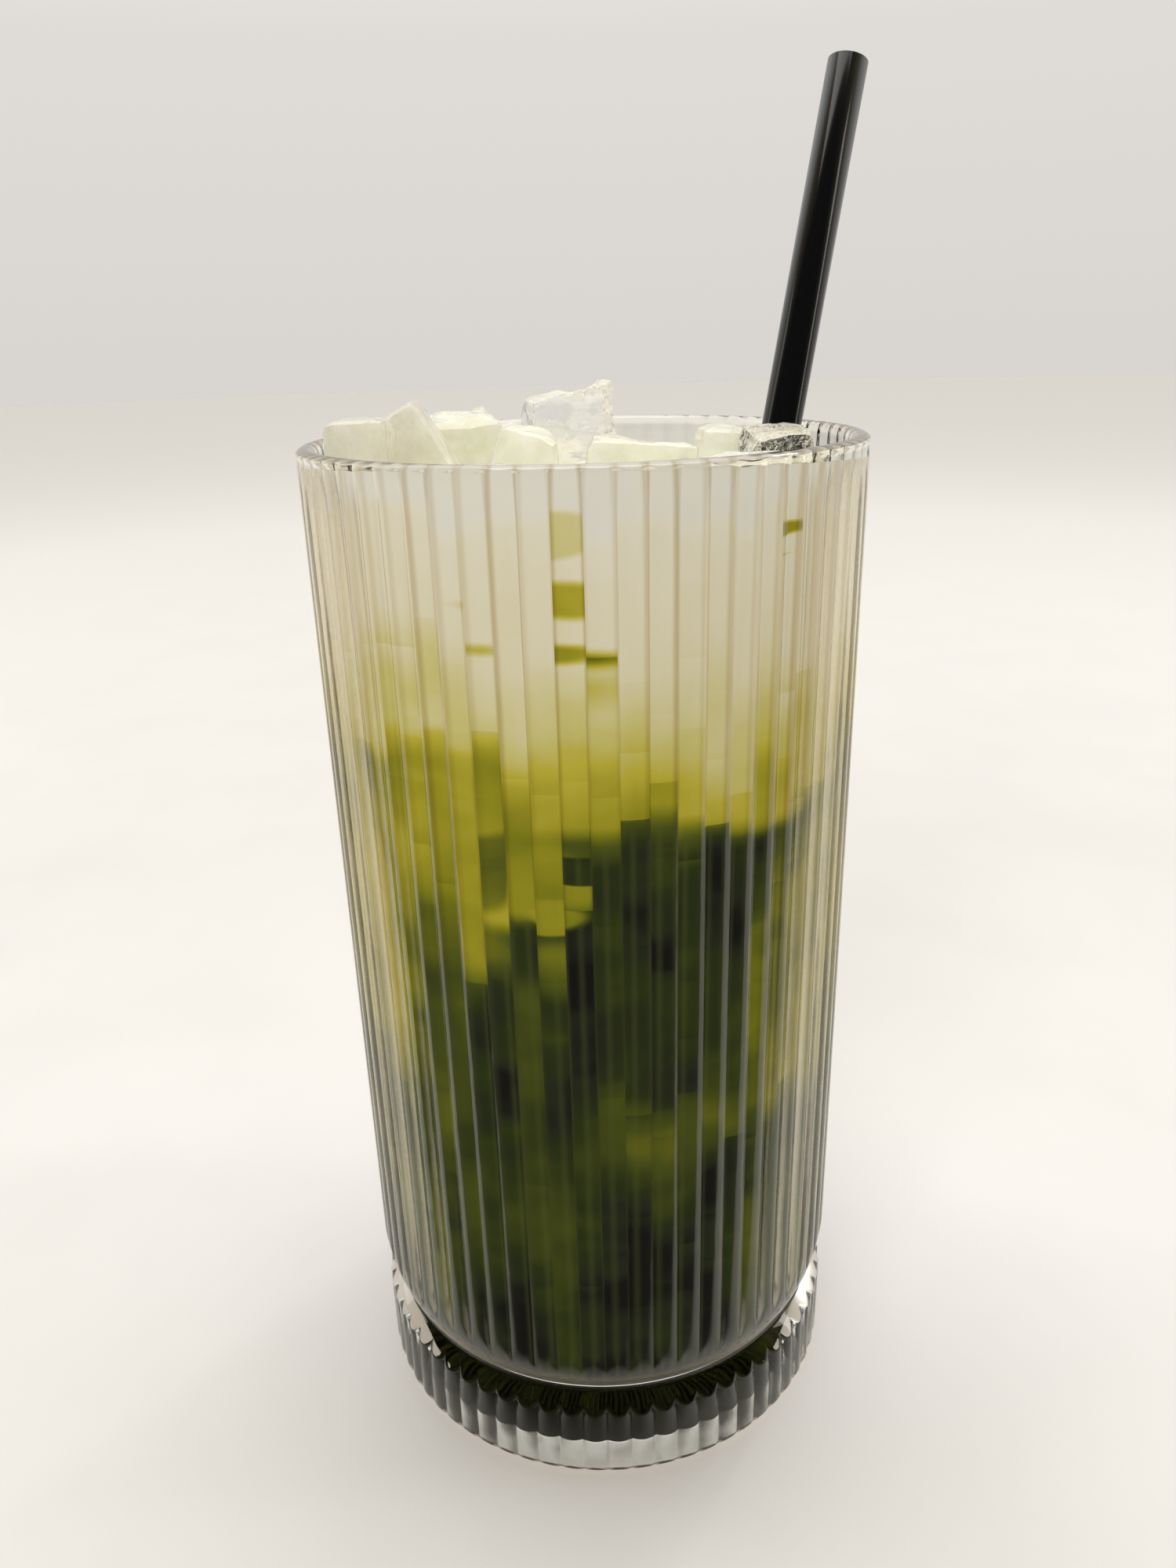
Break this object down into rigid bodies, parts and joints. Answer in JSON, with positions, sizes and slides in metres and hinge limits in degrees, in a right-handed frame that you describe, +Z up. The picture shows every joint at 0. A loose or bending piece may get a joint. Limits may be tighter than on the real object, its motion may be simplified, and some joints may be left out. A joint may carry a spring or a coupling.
{
  "type": "iced green tea with milk in a ribbed glass with a straw",
  "caption": "Tall ribbed clear glass on a fluted foot, filled with dark green tea that blends up into milk, with ice cubes at the rim and a straight black straw.",
  "frame": {"origin": "centre of the glass's foot, on the surface that it stands on", "axes": "+Z up along the glass's axis, +X to the drinker's right and +Y away from the drinker; a rib valley lies on +X, and the straw leans out between +X and +Y"},
  "size_m": [0.08, 0.08, 0.2083],
  "materials": {
    "glass": "clear pressed soda-lime glass, fire polished",
    "tea": "strong green tea, almost black green, wet and glossy",
    "blend": "yellow-green tea mixed with milk, cloudy liquid",
    "milk": "ivory milk with a little foam, soft gloss",
    "straw": "black extruded polypropylene, glossy",
    "ice": "melting ice, cloudy and tinted cream by the milk"
  },
  "bodies": {
    "root": {"glass": "glass", "tea_layer": "tea", "blend_layer": "blend", "milk_layer": "milk", "straw": "straw", "ice_left_cube": "ice", "ice_left_peak": "ice", "ice_left_back": "ice", "ice_middle": "ice", "ice_tall_clear": "ice", "ice_low": "ice", "ice_straw_left": "ice", "ice_straw_front": "ice", "ice_front_left": "ice", "ice_front_middle": "ice", "ice_front_right": "ice"}
  },
  "joints": []
}
